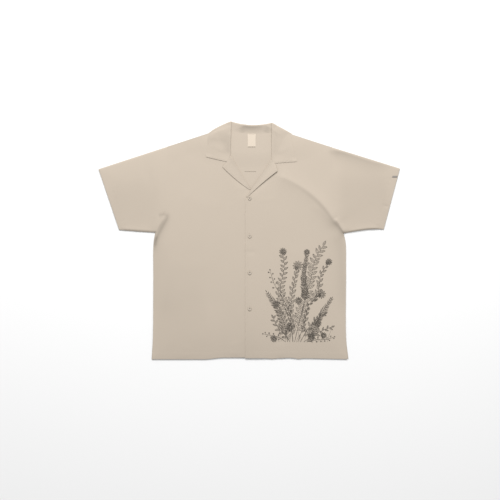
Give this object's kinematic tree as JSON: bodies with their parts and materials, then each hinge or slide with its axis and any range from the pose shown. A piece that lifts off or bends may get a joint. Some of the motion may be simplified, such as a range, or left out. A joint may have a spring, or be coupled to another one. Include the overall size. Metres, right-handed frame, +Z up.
{
  "type": "camp shirt",
  "caption": "Boxy short-sleeved camp shirt with an open notched collar and buttoned front, laid flat on its back.",
  "frame": {"origin": "on the surface that the shirt lies on, under the middle of its whole box", "axes": "+X to the wearer's left across the sleeves, +Y from hem to collar, +Z up from the surface"},
  "size_m": [0.933, 0.7362, 0.0139],
  "materials": {
    "cloth": "fine plain-woven beige cloth with a soft dry hand",
    "button": "beige polished shirt button with a soft sheen",
    "label": "bare off-white woven satin label",
    "tab": "bare grey woven tape",
    "thread": "dark grey-brown embroidery thread with a slight sheen",
    "stitching": "matt sewing thread close to the cloth's colour"
  },
  "bodies": {
    "root": {"front_right": "cloth", "front_left": "cloth", "back": "cloth", "sleeve_right": "cloth", "sleeve_left": "cloth", "lapel_right": "cloth", "lapel_left": "cloth", "collar": "cloth", "label": "label", "sleeve_tab": "tab", "button_1": "button", "button_2": "button", "button_3": "button", "button_4": "button"}
  },
  "joints": []
}
